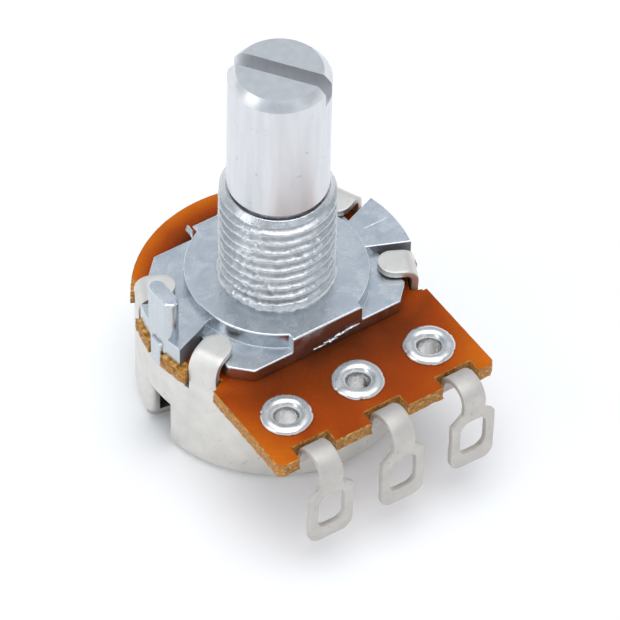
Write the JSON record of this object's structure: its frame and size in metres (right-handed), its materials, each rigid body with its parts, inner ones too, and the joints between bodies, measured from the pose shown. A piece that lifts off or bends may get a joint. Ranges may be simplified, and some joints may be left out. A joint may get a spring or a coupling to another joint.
{
  "type": "rotary potentiometer",
  "caption": "Rotary potentiometer: slotted round shaft in a threaded panel bushing, die-cast plate, phenolic wafer with riveted solder lugs, and a pressed steel can with folded tabs.",
  "frame": {"origin": "shaft axis at the mounting face, the top of the round boss at the foot of the bushing", "axes": "+Z out along the shaft; the row of terminals runs along X on the -Y side; the locating lug is on the -X side"},
  "size_m": [0.0172, 0.0222, 0.0258],
  "materials": {
    "zinc_casting": "satin, as cast, bluish grey",
    "shaft_metal": "finely turned, dull satin",
    "phenolic": "glossy amber brown faces, rough tan sheared edges",
    "can_steel": "tin-plated, satin",
    "terminal_metal": "tin-plated, satin",
    "rivet_metal": "tin-plated, bright, slightly rough",
    "carbon": "matt printed carbon",
    "silver_print": "matt printed silver",
    "rotor_plastic": "moulded, dark, matt",
    "spring_bronze": "bare spring bronze",
    "ring_steel": "plain spring steel"
  },
  "bodies": {
    "housing": {"front_plate": "zinc_casting", "wafer": "phenolic", "carbon_track": "carbon", "collector_ring": "silver_print", "end_pad_left": "silver_print", "end_pad_right": "silver_print", "terminal_left": "terminal_metal", "terminal_centre": "terminal_metal", "terminal_right": "terminal_metal", "rivet_left": "rivet_metal", "rivet_centre": "rivet_metal", "rivet_right": "rivet_metal", "rear_cover": "can_steel"},
    "rotor_group": {"shaft": "shaft_metal", "retaining_ring": "ring_steel", "rotor": "rotor_plastic", "wiper": "spring_bronze"}
  },
  "joints": [
    {"name": "shaft_turn", "type": "hinge", "parent": "housing", "child": "rotor_group", "pos_m": [0, 0, 0], "axis": [0, 0, 1], "range_deg": [-186, 114]}
  ]
}
